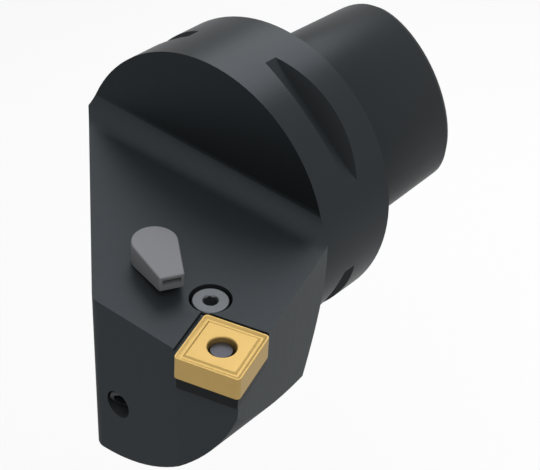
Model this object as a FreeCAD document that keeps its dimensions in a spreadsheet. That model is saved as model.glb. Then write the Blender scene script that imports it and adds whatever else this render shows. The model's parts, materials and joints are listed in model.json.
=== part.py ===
import FreeCAD, Part
import Sketcher
import math
import os
import re

# Turning tool holder: three-lobed tapered shank, gripper flange and an offset head with a lever-held insert.
# The origin is the centre of the flange's contact face. +X runs along the axis to the head, +Y to the insert's
# side and +Z up. Lengths are millimetres, angles degrees.

doc = FreeCAD.newDocument("turning_tool_holder")
sheet = doc.addObject("Spreadsheet::Sheet", "Sizes")

sizes = [
    # shank and flange
    ("shank_length", 38.0, "contact face to the shank's end"),
    ("lobe_radius", 22.0, "mean radius of the three-lobed section at the contact face"),
    ("lobe_height", 1.4, "how far a lobe stands over the mean radius"),
    ("shank_taper", 20.0, "length over which the shank's diameter shrinks by one"),
    ("shank_end_length", 2.0, "length of the bevel at the shank's end"),
    ("shank_end_depth", 1.0, "depth of the bevel at the shank's end"),
    ("flange_diameter", 63.0, "flange diameter"),
    ("flange_length", 22.5, "contact face to the wall behind the flat"),
    ("flange_bevel", 1.0, "bevel on the flange's rear rim"),
    ("gripper_place", 11.7, "contact face to the middle of the gripper grooves"),
    ("gripper_floor", 3.2, "width of a gripper groove's floor"),
    ("gripper_depth", 3.4, "depth of a gripper groove at its middle"),
    ("gripper_flank", 30.0, "slope of a gripper groove's flank"),
    # inside of the shank
    ("bore_diameter", 28.0, "drawbar bore"),
    ("bore_depth", 30.0, "shank end to the bore's floor"),
    ("collet_diameter", 32.0, "ring groove for the clamping segments"),
    ("collet_start", 13.0, "shank end to the ring groove"),
    ("collet_length", 9.0, "width of the ring groove"),
    ("thread_diameter", 17.8, "core of the drawbar thread, M20 by 2"),
    ("thread_length", 22.0, "length of the drawbar thread"),
    ("chamber_diameter", 12.0, "coolant chamber past the thread"),
    ("chamber_length", 4.0, "length of the coolant chamber"),
    # head
    ("head_length", 65.0, "contact face to the head's front face"),
    ("face_stock", 1.0, "what the blank has in front of the front face before that is milled"),
    ("head_diameter", 61.0, "diameter of the head's offset round section"),
    ("head_shift", 14.1, "how far that section stands to the insert's side"),
    ("head_cone", 49.0, "slope of the turned cone behind the head, from the axis"),
    ("flank_start", 30.0, "where the slanted left flank meets the wall, beside the axis"),
    ("flank_angle", 44.5, "angle of the left flank to the axis"),
    ("flank_lean", 1.15, "how far the left flank leans outwards towards its foot, an angle"),
    ("flank_round", 3.0, "radius of the corner between left flank and front face"),
    ("front_split", 31.2, "where the front face turns back under the insert, beside the axis"),
    ("side_inset", 0.8, "insert's outer edge to the side face"),
    ("wall_fillet", 5.0, "radius between the flat and the wall"),
    # seat
    ("seat_side_tilt", 7.0, "fall of the flat to the insert's side"),
    ("seat_front_tilt", 4.0, "fall of the flat to the front"),
    ("lead_angle", 15.0, "insert's front edge to the crosswise direction"),
    ("nose_side", 45.0, "axis to the outermost point of the cutting corner"),
    ("nose_back", 0.7, "head's front face to the foremost point of the cutting corner's round"),
    ("flat_drop", 0.75, "insert's top face to the flat"),
    # insert and shim
    ("insert_width", 12.7, "inscribed circle of the square insert"),
    ("insert_thickness", 4.76, "insert thickness"),
    ("nose_radius", 0.8, "corner radius"),
    ("insert_hole", 5.16, "hole in the insert"),
    ("hole_mouth", 0.7, "width of the countersink round the hole"),
    ("land_width", 0.3, "land along the cutting edges"),
    ("former_width", 1.3, "width of the chip former inside the land"),
    ("former_depth", 0.25, "depth of the chip former"),
    ("shim_thickness", 2.8, "shim thickness"),
    ("shim_inset", 0.35, "insert's edge to the shim's edge"),
    ("pocket_gap", 0.03, "insert to the pocket's walls"),
    ("pocket_relief", 0.9, "radius of the relief in the pocket's corner"),
    # lever, its sleeve and its screw
    ("sleeve_diameter", 6.4, "outside of the shim sleeve"),
    ("sleeve_wall", 0.6, "wall of the shim sleeve"),
    ("sleeve_slot", 0.9, "slot along the shim sleeve"),
    ("sleeve_depth", 3.5, "how deep the sleeve sits below the shim"),
    ("sleeve_top_gap", 0.4, "insert's underside to the top of the sleeve"),
    ("fit_gap", 0.04, "radial clearance of round fits"),
    ("lever_head", 4.0, "diameter of the lever's head in the insert's hole"),
    ("lever_head_drop", 1.3, "insert's top face to the lever's head"),
    ("lever_head_length", 3.0, "length of the lever's head"),
    ("lever_neck", 3.2, "diameter of the lever's neck"),
    ("lever_touch", 0.05, "clearance where the lever pulls the insert"),
    ("knee_drop", 5.8, "shim's underside to the lever's knee"),
    ("knee_radius", 2.0, "radius of the lever's knee"),
    ("arm_width", 3.4, "width of the lever's arm"),
    ("arm_tip_height", 2.3, "height of the arm's tip"),
    ("arm_gap", 0.15, "arm's tip to the shoulders of the screw's groove"),
    ("arm_room", 0.5, "free space round the arm in its slot"),
    ("screw_distance", 13.5, "insert's hole to the lever screw"),
    ("screw_turn", 10.7, "angle between that line and the insert's diagonal"),
    ("screw_head", 6.9, "diameter of the lever screw's head"),
    ("screw_head_height", 3.2, "height of the lever screw's head"),
    ("screw_sink", 0.4, "flat to the top of the lever screw"),
    ("screw_socket", 2.5, "hexagon socket across flats"),
    ("screw_socket_depth", 2.4, "depth of the hexagon socket"),
    ("screw_thread", 6.0, "thread diameter of the lever screw"),
    ("screw_neck", 3.6, "bottom of the groove that works the lever"),
    ("screw_foot", 4.9, "diameter of the foot below the groove"),
    ("screw_foot_height", 1.7, "height of the foot"),
    ("screw_room", 0.5, "foot to the floor of the screw's bore"),
    ("counterbore_diameter", 8.0, "recess round the lever screw's head"),
    ("screw_travel", 0.7, "how far the screw backs out to free the insert"),
    # coolant nozzle, seal, lock screw, channel and plug
    ("nozzle_back", 26.26, "insert's middle to the nozzle's axis, back along the diagonal"),
    ("nozzle_side", 3.92, "nozzle's axis beside the diagonal"),
    ("nozzle_turn", -0.3, "angle of the beak to the diagonal"),
    ("nozzle_radius", 4.35, "radius of the nozzle's round end"),
    ("nozzle_height", 4.9, "top of the nozzle over the flat"),
    ("nozzle_gap", 0.1, "flat to the underside of the nozzle"),
    ("beak_reach", 10.4, "nozzle's axis to the beak's tip"),
    ("beak_width", 4.7, "width of the beak's tip"),
    ("beak_rise", 1.7, "flat to the underside of the beak's tip"),
    ("jet_height", 1.2, "height of the outlet slot"),
    ("jet_width", 3.5, "width of the outlet slot"),
    ("jet_lip", 0.7, "lip over the outlet slot"),
    ("jet_depth", 1.6, "depth of the outlet slot"),
    ("jet_diameter", 0.9, "bore that feeds the slot"),
    ("stem_diameter", 7.0, "nozzle's stem"),
    ("stem_length", 13.0, "length of the stem below the flat"),
    ("stem_bore", 3.2, "bore up the stem"),
    ("stem_bore_top", 3.2, "flat to the blind end of that bore"),
    ("seal_place", 3.8, "flat to the middle of the seal"),
    ("seal_wire", 0.84, "thickness of the seal"),
    ("seal_groove_depth", 0.9, "depth of the seal's groove"),
    ("seal_gap", 0.03, "seal to the bore"),
    ("lock_place", 9.0, "flat to the lock screw's axis"),
    ("lock_groove_width", 2.4, "width of the groove that the lock screw enters"),
    ("lock_groove_depth", 0.8, "depth of that groove"),
    ("lock_diameter", 4.0, "lock screw's thread"),
    ("lock_length", 5.0, "length of the lock screw"),
    ("lock_point", 2.0, "diameter of the lock screw's point"),
    ("lock_socket", 2.0, "hexagon socket across flats"),
    ("nozzle_bore_depth", 17.5, "flat to the floor of the nozzle's bore"),
    ("channel_diameter", 4.5, "coolant channel"),
    ("plug_side", 16.5, "channel's mouth in the front face, beside the axis"),
    ("plug_drop", 18.2, "channel's mouth below the axis"),
    ("plug_diameter", 5.0, "channel plug"),
    ("plug_length", 5.0, "length of the plug"),
    ("plug_sink", 1.1, "front face to the plug"),
    ("plug_socket", 2.5, "hexagon socket across flats"),
]
for row, (alias, value, note) in enumerate(sizes, start=1):
    sheet.set("A%d" % row, alias)
    sheet.set("B%d" % row, str(value))
    sheet.setAlias("B%d" % row, alias)
    sheet.set("C%d" % row, note)
doc.recompute()


def cells(text):
    """An expression such as "flange_diameter / 2" with each alias as a cell of the sheet."""
    return re.sub(r"[a-z]+(_[a-z]+)+", lambda found: "Sizes." + found.group(), text)


def size(text):
    """Value of such an expression."""
    return float(sheet.evalExpression(cells(text)))


def vector(x=0.0, y=0.0, z=0.0):
    return FreeCAD.Vector(x, y, z)


def placed(point, rotation=None):
    return FreeCAD.Placement(point, rotation or FreeCAD.Rotation())


def turned(angle, axis=None):
    """Rotation about an axis, by default the vertical one."""
    return FreeCAD.Rotation(axis or vector(0, 0, 1), angle)


along_x = turned(90, vector(0, 1, 0))   # turns a cylinder's axis from +Z to +X


# Part features, for the forged and milled holder

def cylinder(name, diameter, height, place):
    piece = doc.addObject("Part::Cylinder", name)
    piece.setExpression("Radius", cells("(%s) / 2" % diameter))
    piece.setExpression("Height", cells(height))
    piece.Placement = place
    return piece


def cone(name, low_radius, high_radius, height, place):
    piece = doc.addObject("Part::Cone", name)
    piece.setExpression("Radius1", cells(low_radius))
    piece.setExpression("Radius2", cells(high_radius))
    piece.setExpression("Height", cells(height))
    piece.Placement = place
    return piece


def block(name, length, width, height, place):
    piece = doc.addObject("Part::Box", name)
    piece.setExpression("Length", cells(length))
    piece.setExpression("Width", cells(width))
    piece.setExpression("Height", cells(height))
    piece.Placement = place
    return piece


def united(name, pieces):
    piece = doc.addObject("Part::MultiFuse", name)
    piece.Shapes = pieces
    piece.Refine = True
    return piece


def shared(name, pieces):
    piece = doc.addObject("Part::MultiCommon", name)
    piece.Shapes = pieces
    return piece


def cut_away(name, blank, tool):
    piece = doc.addObject("Part::Cut", name)
    piece.Base = blank
    piece.Tool = tool
    return piece


def shaped(name, shape):
    piece = doc.addObject("Part::Feature", name)
    piece.Shape = shape
    return piece


def edges_at(shape, points, reach=0.05):
    """Numbers of the edges that pass within reach of the points, one for each point."""
    found = []
    for point in points:
        near = Part.Vertex(point)
        gaps = [edge.distToShape(near)[0] for edge in shape.Edges]
        best = min(range(len(gaps)), key=gaps.__getitem__)
        if gaps[best] > reach:
            raise RuntimeError("no edge at %s" % point)
        found.append(best + 1)
    return found


# Sketches whose corners are bound to the sheet, and the features that use them

def outline(owner, name, corners, role="XY_Plane", lift="0"):
    sketch = owner.newObject("Sketcher::SketchObject", name)
    plane = [part for part in owner.Origin.OriginFeatures if part.Role == role][0]
    sketch.AttachmentSupport = [(plane, "")]
    sketch.MapMode = "FlatFace"
    if lift != "0":
        sketch.AttachmentOffset = placed(vector(0, 0, size(lift)))
    draw_closed(sketch, corners)
    return sketch


def draw_closed(sketch, corners):
    """Closed polygon; each corner is a pair of expressions, fixed from the sketch's origin."""
    first = sketch.GeometryCount
    count = len(corners)
    spots = [vector(size(across), size(up)) for across, up in corners]
    for index in range(count):
        sketch.addGeometry(Part.LineSegment(spots[index], spots[(index + 1) % count]), False)
    for index in range(count):
        after = first + (index + 1) % count
        sketch.addConstraint(Sketcher.Constraint("Coincident", first + index, 2, after, 1))
    for index, corner in enumerate(corners):
        for text, kind, zero_axis in ((corner[0], "DistanceX", -2), (corner[1], "DistanceY", -1)):
            if text == "0":
                sketch.addConstraint(Sketcher.Constraint("PointOnObject", first + index, 1, zero_axis))
                continue
            number = sketch.addConstraint(
                Sketcher.Constraint(kind, -1, 1, first + index, 1, size(text)))
            sketch.setExpression("Constraints[%d]" % number, cells(text))


def new_body(label, place):
    owner = doc.addObject("PartDesign::Body", label)
    owner.Label = label
    owner.Placement = place
    return owner


def revolved(owner, name, corners):
    """Solid of revolution about the body's Z axis; corners are radius and height."""
    feature = owner.newObject("PartDesign::Revolution", name)
    feature.Profile = outline(owner, name + "_profile", corners, "XZ_Plane")
    feature.ReferenceAxis = (feature.Profile[0], ["V_Axis"])
    feature.Angle = 360
    return feature


def ring_cut(owner, name, corners):
    feature = owner.newObject("PartDesign::Groove", name)
    feature.Profile = outline(owner, name + "_profile", corners, "XZ_Plane")
    feature.ReferenceAxis = (feature.Profile[0], ["V_Axis"])
    feature.Angle = 360
    return feature


def padded(owner, name, corners, length, role="XY_Plane", lift="0", downward=False, both_ways=False):
    feature = owner.newObject("PartDesign::Pad", name)
    feature.Profile = outline(owner, name + "_profile", corners, role, lift)
    feature.setExpression("Length", cells(length))
    feature.Reversed = downward
    feature.Midplane = both_ways
    return feature


def pocketed(owner, name, corners, length, role="XY_Plane", lift="0", upward=False, both_ways=False):
    feature = owner.newObject("PartDesign::Pocket", name)
    feature.Profile = outline(owner, name + "_profile", corners, role, lift)
    feature.setExpression("Length", cells(length))
    feature.Reversed = upward
    feature.Midplane = both_ways
    return feature


def round_part(owner, name, kind, diameter, height, place):
    """Additive or Subtractive cylinder of a body."""
    feature = owner.newObject("PartDesign::%sCylinder" % kind, name)
    feature.setExpression("Radius", cells("(%s) / 2" % diameter))
    feature.setExpression("Height", cells(height))
    feature.Placement = place
    return feature


def cone_cut(owner, name, low_radius, high_radius, height, place):
    feature = owner.newObject("PartDesign::SubtractiveCone", name)
    feature.setExpression("Radius1", cells(low_radius))
    feature.setExpression("Radius2", cells(high_radius))
    feature.setExpression("Height", cells(height))
    feature.Placement = place
    return feature


def square(half):
    """Square with its corners on the axes; half is half of its width."""
    corner = "(%s) * sqrt(2)" % half
    return [(corner, "0"), ("0", corner), ("-1 * " + corner, "0"), ("0", "-1 * " + corner)]


def hexagon(across):
    """Hexagon by its size across flats."""
    far, near, high = "%s / sqrt(3)" % across, "%s / sqrt(12)" % across, "%s / 2" % across
    return [(far, "0"), (near, high), ("-1 * " + near, high),
            ("-1 * " + far, "0"), ("-1 * " + near, "-1 * " + high), (near, "-1 * " + high)]


# Where things sit on the tilted flat. The seat's frame has its origin in the middle of the insert's top face,
# its X axis points to the cutting corner and its Z axis stands on the flat.

flat_tilt = turned(-size("seat_side_tilt"), vector(1, 0, 0)) * turned(size("seat_front_tilt"), vector(0, 1, 0))
seat_turn = flat_tilt * turned(45 + size("lead_angle"))
to_corner = seat_turn * vector(1, 0, 0)
flat_normal = seat_turn * vector(0, 0, 1)
round_reach = size("insert_width / sqrt(2) - nose_radius * sqrt(2)")
corner_reach = round_reach + size("nose_radius")
seat_centre = vector(
    size("head_length - nose_back - nose_radius") - round_reach * to_corner.x,
    size("nose_side - nose_radius") - round_reach * to_corner.y,
    -corner_reach * to_corner.z)
seat = placed(seat_centre, seat_turn)


def on_seat(x, y, z, angle=0.0):
    """Frame in the seat's frame, turned about the flat's normal."""
    return seat * placed(vector(x, y, z), turned(angle))


square_seat = on_seat(0, 0, 0, -45)     # X square to the insert's front edge, Y to its outer edge
pocket_floor = -size("insert_thickness + shim_thickness")
flat_level = -size("flat_drop")
knee_level = "-1 * (insert_thickness + shim_thickness + knee_drop)"
lever_frame = on_seat(0, 0, 0, -size("screw_turn"))
screw_top = flat_level - size("screw_sink")
screw_frame = lever_frame * placed(vector(-size("screw_distance"), 0, screw_top))
# top of the lever screw to the middle of its groove, and to the end of its foot
groove_drop = "insert_thickness + shim_thickness + knee_drop - flat_drop - screw_sink"
screw_length = "(%s + arm_tip_height / 2 + arm_gap + screw_foot_height)" % groove_drop
nozzle_frame = on_seat(-size("nozzle_back"), -size("nozzle_side"), flat_level, size("nozzle_turn"))

# The left flank starts at the wall and leans outwards towards its foot.
flank_turn = turned(size("flank_angle")) * turned(-size("flank_lean"), vector(1, 0, 0))
flank_normal = flank_turn * vector(0, -1, 0)
flat_point = seat * vector(0, 0, flat_level)
flank_step = vector(size("flange_length"), -size("flank_start"), 0) - flat_point
flank_lift = -(flat_normal.x * flank_step.x + flat_normal.y * flank_step.y) / flat_normal.z
flank_point = flat_point + vector(flank_step.x, flank_step.y, flank_lift)

# The lock screw lies square to the nozzle's axis and comes in from the left flank.
lock_centre = nozzle_frame * vector(0, 0, -size("lock_place"))
lock_way = (flank_normal - flat_normal * flank_normal.dot(flat_normal)).normalize()
lock_turn = FreeCAD.Rotation(vector(0, 0, 1), lock_way)
lock_far = size("stem_diameter / 2 + fit_gap * 2 + lock_length")
lock_frame = placed(lock_centre + lock_way * lock_far, lock_turn)

# The coolant channel runs from the chamber past the drawbar thread to the front face.
chamber_end = size("bore_depth + thread_length + chamber_length - shank_length")
channel_mouth = vector(size("head_length"), size("plug_side"), -size("plug_drop"))
channel_start = vector(chamber_end - size("channel_diameter / 2"), 0, 0)
channel_way = (channel_mouth - channel_start).normalize()
channel_turn = FreeCAD.Rotation(vector(0, 0, 1), channel_way)
plug_frame = placed(channel_mouth - channel_way * size("plug_sink"), channel_turn)


# Holder: shank, flange and head are one forging

def lobed_wire(offset, place):
    """Three-lobed section by its support function, one lobe up, at a distance along the axis."""
    mean, lobe = size("lobe_radius") - offset, size("lobe_height")
    points, count = [], 72
    for step in range(count):
        angle = 2 * math.pi * step / count
        reach = mean + lobe * math.cos(3 * (angle - math.pi / 2))
        slope = -3 * lobe * math.sin(3 * (angle - math.pi / 2))
        points.append(vector(place, reach * math.cos(angle) - slope * math.sin(angle),
                             reach * math.sin(angle) + slope * math.cos(angle)))
    curve = Part.BSplineCurve()
    curve.interpolate(points, PeriodicFlag=True)
    return Part.Wire([curve.toShape()])


def build_shank():
    length, bevel = size("shank_length"), size("shank_end_length")
    shrink = 1 / (2 * size("shank_taper"))
    sections = [(0, 0), ((length - bevel) * shrink, -(length - bevel)),
                (length * shrink + size("shank_end_depth"), -length)]
    wires = [lobed_wire(offset, place) for offset, place in sections]
    taper = Part.makeLoft(wires[:2], True, True)
    end = Part.makeLoft(wires[1:], True, True)
    return shaped("shank", taper.fuse(end).removeSplitter())


def build_head():
    length = "head_length - flange_length + face_stock"
    start = vector(size("flange_length"), 0, 0)
    shift = vector(0, size("head_shift"), 0)
    on_axis = cylinder("head_on_axis", "flange_diameter", length, placed(start, along_x))
    beside = cylinder("head_beside", "head_diameter", length, placed(start + shift, along_x))
    widest = "flange_diameter / 2 + (%s) * tan(head_cone * 1 deg)" % length
    turned_back = cone("head_back", "flange_diameter / 2", widest, length, placed(start, along_x))
    turned_head = shared("turned_head", [united("head_section", [on_axis, beside]), turned_back])
    return cut_away("head", turned_head, united("head_cuts", face_cutters()))


def build_flange():
    rim = cone("flange_rim", "flange_diameter / 2 - flange_bevel", "flange_diameter / 2", "flange_bevel",
               placed(vector(), along_x))
    ring = cylinder("flange_ring", "flange_diameter", "flange_length - flange_bevel",
                    placed(vector(size("flange_bevel"), 0, 0), along_x))
    return [rim, ring]


def gripper_cutters():
    """Four straight V grooves, each square to a radius of the flange."""
    outside = 1.0
    deep, proud = size("flange_diameter / 2 - gripper_depth"), size("flange_diameter / 2") + outside
    half_floor = size("gripper_floor / 2")
    half_mouth = half_floor + (proud - deep) * math.tan(math.radians(size("gripper_flank")))
    middle, half_length = size("gripper_place"), size("flange_diameter / 2")
    corners = [vector(middle - half_floor, -half_length, deep), vector(middle + half_floor, -half_length, deep),
               vector(middle + half_mouth, -half_length, proud), vector(middle - half_mouth, -half_length, proud)]
    groove = Part.Face(Part.makePolygon(corners + corners[:1])).extrude(vector(0, 2 * half_length, 0))
    cutters = []
    for turn in (45, 135, 225, 315):
        cutter = shaped("gripper_groove_%d" % turn, groove)
        cutter.Placement = placed(vector(), turned(turn, vector(1, 0, 0)))
        cutters.append(cutter)
    return cutters


def flat_cutter():
    """All that is milled away over the flat and in front of the wall, with the fillet between them."""
    tilt = math.radians(size("seat_side_tilt"))
    up = vector(0, math.sin(tilt), math.cos(tilt))
    across = vector(0, -math.cos(tilt), math.sin(tilt))
    wall, beyond = size("flange_length"), size("head_length + flange_diameter")
    fall = math.tan(math.radians(size("seat_front_tilt")))
    level = flat_point.dot(up)
    top = size("flange_diameter")
    corners = [(wall, level + fall * (flat_point.x - wall)), (beyond, level - fall * (beyond - flat_point.x)),
               (beyond, top), (wall, top)]
    half = size("flange_diameter")
    spots = [vector(x, 0, 0) + up * height - across * half for x, height in corners]
    solid = Part.Face(Part.makePolygon(spots + spots[:1])).extrude(across * (2 * half))
    root = edges_at(solid, [spots[0] + across * half])
    return shaped("flat_cut", solid.makeFillet(size("wall_fillet"), [solid.Edges[root[0] - 1]]))


def corner_cutter():
    """All outside the left flank and in front of the front face, with the round between the two."""
    reach = "head_length * 4"
    deep = size(reach)
    beside = block("flank_cut", reach, reach, reach,
                   placed(flank_point - flank_turn * vector(deep / 2, deep, deep / 2), flank_turn))
    before = block("face_cut", reach, reach, reach,
                   placed(vector(size("head_length"), -deep / 2, -deep / 2)))
    both = united("flank_and_face", [beside, before])
    doc.recompute()
    corner = vector(size("head_length"), 0, 0)
    corner.y = (flank_normal.dot(flank_point) - flank_normal.dot(corner)) / flank_normal.y
    rounded = doc.addObject("Part::Fillet", "corner_cut")
    rounded.Base = both
    number = edges_at(both.Shape, [corner])[0]
    rounded.Edges = [(number, size("flank_round"), size("flank_round"))]
    return rounded


def face_cutters():
    """The face under the insert's front edge, and the side face along its outer edge."""
    reach = "head_length * 2"
    deep = size(reach)
    split = vector(size("head_length"), size("front_split"), -deep / 2)
    front_turn = turned(size("lead_angle"))
    front_cut = block("front_cut", reach, reach, reach,
                      placed(split - front_turn * vector(0, 1, 0), front_turn))
    side_cut = block("side_cut", reach, reach, reach, square_seat * placed(
        vector(-deep / 2, size("insert_width / 2 - side_inset"), -deep / 2)))
    return [front_cut, side_cut]


def pocket_cutters():
    half = size("insert_width / 2 + pocket_gap")
    room = "head_length"
    pocket = block("pocket", room, room, room, square_seat * placed(vector(-half, -half, pocket_floor)))
    corner = size("insert_width / sqrt(2)") - size("pocket_relief") / 2
    relief = cylinder("pocket_corner", "pocket_relief * 2", room, on_seat(-corner, 0, pocket_floor))
    return [pocket, relief]


def clamp_cutters():
    """Bores of the sleeve, the lever and the lever screw, and the slot between them."""
    arm_low = size(knee_level) - size("knee_radius") - size("arm_room")
    lever_bore = cylinder("lever_bore", "sleeve_diameter + fit_gap * 2",
                          "insert_thickness + knee_drop + knee_radius + arm_room",
                          lever_frame * placed(vector(0, 0, arm_low)))
    slot = block("arm_slot", "screw_distance", "arm_width + arm_room", "(knee_radius + arm_room) * 2",
                 lever_frame * placed(vector(-size("screw_distance"), -size("arm_width + arm_room") / 2, arm_low)))
    screw_bore = cylinder("screw_bore", "screw_thread + fit_gap * 2", "%s + screw_room" % screw_length,
                          screw_frame * placed(vector(0, 0, -size("%s + screw_room" % screw_length))))
    head_room = cylinder("screw_recess", "counterbore_diameter", "head_length", screw_frame * placed(
        vector(0, 0, -size("screw_head_height + screw_sink / 2"))))
    return [lever_bore, slot, screw_bore, head_room]


def coolant_cutters():
    nozzle_bore = cylinder("nozzle_bore", "stem_diameter + fit_gap * 2", "head_length",
                           nozzle_frame * placed(vector(0, 0, -size("nozzle_bore_depth"))))
    lock_bore = cylinder("lock_bore", "lock_diameter + fit_gap * 2", "flange_diameter",
                         placed(lock_centre, lock_turn))
    length = (channel_mouth - channel_start).Length
    channel = shaped("channel", Part.makeCylinder(size("channel_diameter / 2"), length))
    channel.Placement = placed(channel_start, channel_turn)
    plug_bore = cylinder("plug_bore", "plug_diameter + fit_gap * 2", "(plug_length + plug_sink) * 3", placed(
        channel_mouth - channel_way * size("plug_length + plug_sink"), channel_turn))
    return [nozzle_bore, lock_bore, channel, plug_bore]


def drawbar_cutters():
    end = -size("shank_length")
    bore = cylinder("drawbar_bore", "bore_diameter", "bore_depth", placed(vector(end, 0, 0), along_x))
    collet = cylinder("collet_groove", "collet_diameter", "collet_length",
                      placed(vector(end + size("collet_start"), 0, 0), along_x))
    floor = end + size("bore_depth")
    thread = cylinder("drawbar_thread", "thread_diameter", "thread_length", placed(vector(floor, 0, 0), along_x))
    chamber = cylinder("coolant_chamber", "chamber_diameter", "chamber_length", placed(
        vector(floor + size("thread_length"), 0, 0), along_x))
    return [bore, collet, thread, chamber]


def build_holder():
    blank = united("blank", [build_shank()] + build_flange() + [build_head()])
    tools = gripper_cutters() + [corner_cutter(), flat_cutter()] + pocket_cutters()
    tools += clamp_cutters() + coolant_cutters() + drawbar_cutters()
    removed = united("removed", tools)
    removed.Refine = False
    return cut_away("holder_body", blank, removed)


# Insert, shim and sleeve

def build_insert():
    owner = new_body("insert", seat)
    blank = padded(owner, "blank_square", square("insert_width / 2"), "insert_thickness", downward=True)
    doc.recompute()
    half_height = -size("insert_thickness") / 2
    far = size("insert_width / sqrt(2)")
    corners = [vector(far, 0, half_height), vector(0, far, half_height),
               vector(-far, 0, half_height), vector(0, -far, half_height)]
    rounds = owner.newObject("PartDesign::Fillet", "corner_rounds")
    rounds.Base = (blank, ["Edge%d" % number for number in edges_at(blank.Shape, corners)])
    rounds.setExpression("Radius", cells("nose_radius"))
    doc.recompute()
    outer, inner = "insert_width / 2 - land_width", "insert_width / 2 - land_width - former_width"
    for name, lift, upward in (("top_former", "0", False), ("under_former", "-1 * insert_thickness", True)):
        former = pocketed(owner, name, square(outer), "former_depth", lift=lift, upward=upward)
        draw_closed(former.Profile[0], square(inner))
    round_part(owner, "lever_hole", "Subtractive", "insert_hole", "insert_thickness",
               placed(vector(0, 0, -size("insert_thickness"))))
    wide, narrow = "insert_hole / 2 + hole_mouth", "insert_hole / 2"
    cone_cut(owner, "top_mouth", narrow, wide, "hole_mouth", placed(vector(0, 0, -size("hole_mouth"))))
    cone_cut(owner, "under_mouth", wide, narrow, "hole_mouth", placed(vector(0, 0, -size("insert_thickness"))))
    return owner


def build_shim():
    owner = new_body("shim", seat * placed(vector(0, 0, -size("insert_thickness"))))
    padded(owner, "plate", square("insert_width / 2 - shim_inset"), "shim_thickness", downward=True)
    round_part(owner, "sleeve_hole", "Subtractive", "sleeve_diameter + fit_gap * 2", "shim_thickness",
               placed(vector(0, 0, -size("shim_thickness"))))
    return owner


def build_sleeve():
    top = -size("insert_thickness + sleeve_top_gap")
    owner = new_body("shim_sleeve", lever_frame * placed(vector(0, 0, top)))
    outer, inner = "sleeve_diameter / 2", "sleeve_diameter / 2 - sleeve_wall"
    length = "shim_thickness - sleeve_top_gap + sleeve_depth"
    revolved(owner, "tube", [(inner, "0"), (outer, "0"), (outer, "-1 * (%s)" % length),
                             (inner, "-1 * (%s)" % length)])
    half = "sleeve_slot / 2"
    pocketed(owner, "slot", [("0", "-1 * " + half), ("sleeve_diameter", "-1 * " + half),
                             ("sleeve_diameter", half), ("0", half)], length)
    return owner


# Lever and the screws

def build_lever():
    owner = new_body("clamp_lever", lever_frame)
    tip = "-1 * (screw_distance - screw_neck / 2 - arm_gap)"
    padded(owner, "arm", [("0", knee_level + " + knee_radius"), (tip, knee_level + " + arm_tip_height / 2"),
                          (tip, knee_level + " - arm_tip_height / 2"), ("0", knee_level + " - knee_radius")],
           "arm_width", role="XZ_Plane", both_ways=True)
    round_part(owner, "knee", "Additive", "knee_radius * 2", "arm_width", placed(
        vector(0, size("arm_width / 2"), size(knee_level)), turned(90, vector(1, 0, 0))))
    head_low = -size("lever_head_drop + lever_head_length")
    round_part(owner, "neck", "Additive", "lever_neck",
               "insert_thickness + shim_thickness + knee_drop - lever_head_drop - lever_head_length / 2",
               placed(vector(0, 0, size(knee_level))))
    pull = size("(insert_hole - lever_head) / 2 - lever_touch")
    round_part(owner, "head_round", "Additive", "lever_head", "lever_head_length",
               placed(vector(-pull, 0, head_low)))
    return owner


def turned_screw(label, place, corners, across, depth):
    """Turned piece with its top at Z = 0 and a hexagon socket in the top."""
    owner = new_body(label, place)
    revolved(owner, "turned_" + label, corners)
    pocketed(owner, "socket_" + label, hexagon(across), depth)
    return owner


def build_lever_screw():
    head, thread = "screw_head / 2", "screw_thread / 2"
    neck, foot = "screw_neck / 2", "screw_foot / 2"
    groove_top = "-1 * (%s - arm_tip_height / 2 - arm_gap)" % groove_drop
    groove_low = "-1 * (%s + arm_tip_height / 2 + arm_gap)" % groove_drop
    end = "-1 * " + screw_length
    under_head = "-1 * screw_head_height"
    corners = [("0", "0"), (head, "0"), (head, under_head), (thread, under_head), (thread, groove_top),
               (neck, groove_top), (neck, groove_low), (foot, groove_low), (foot, end), ("0", end)]
    return turned_screw("lever_screw", screw_frame, corners, "screw_socket", "screw_socket_depth")


def build_lock_screw():
    body, point = "lock_diameter / 2", "lock_point / 2"
    # the point stops one fit gap short of the groove's floor in the stem
    tip = "-1 * (lock_length + lock_groove_depth + fit_gap)"
    corners = [("0", "0"), (body, "0"), (body, "-1 * lock_length"), (point, "-1 * lock_length"),
               (point, tip), ("0", tip)]
    return turned_screw("nozzle_lock_screw", lock_frame, corners, "lock_socket", "lock_length / 2")


def build_plug():
    corners = [("0", "0"), ("plug_diameter / 2", "0"), ("plug_diameter / 2", "-1 * plug_length"),
               ("0", "-1 * plug_length")]
    return turned_screw("channel_plug", plug_frame, corners, "plug_socket", "plug_length / 2")


# Coolant nozzle and its seal

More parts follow.
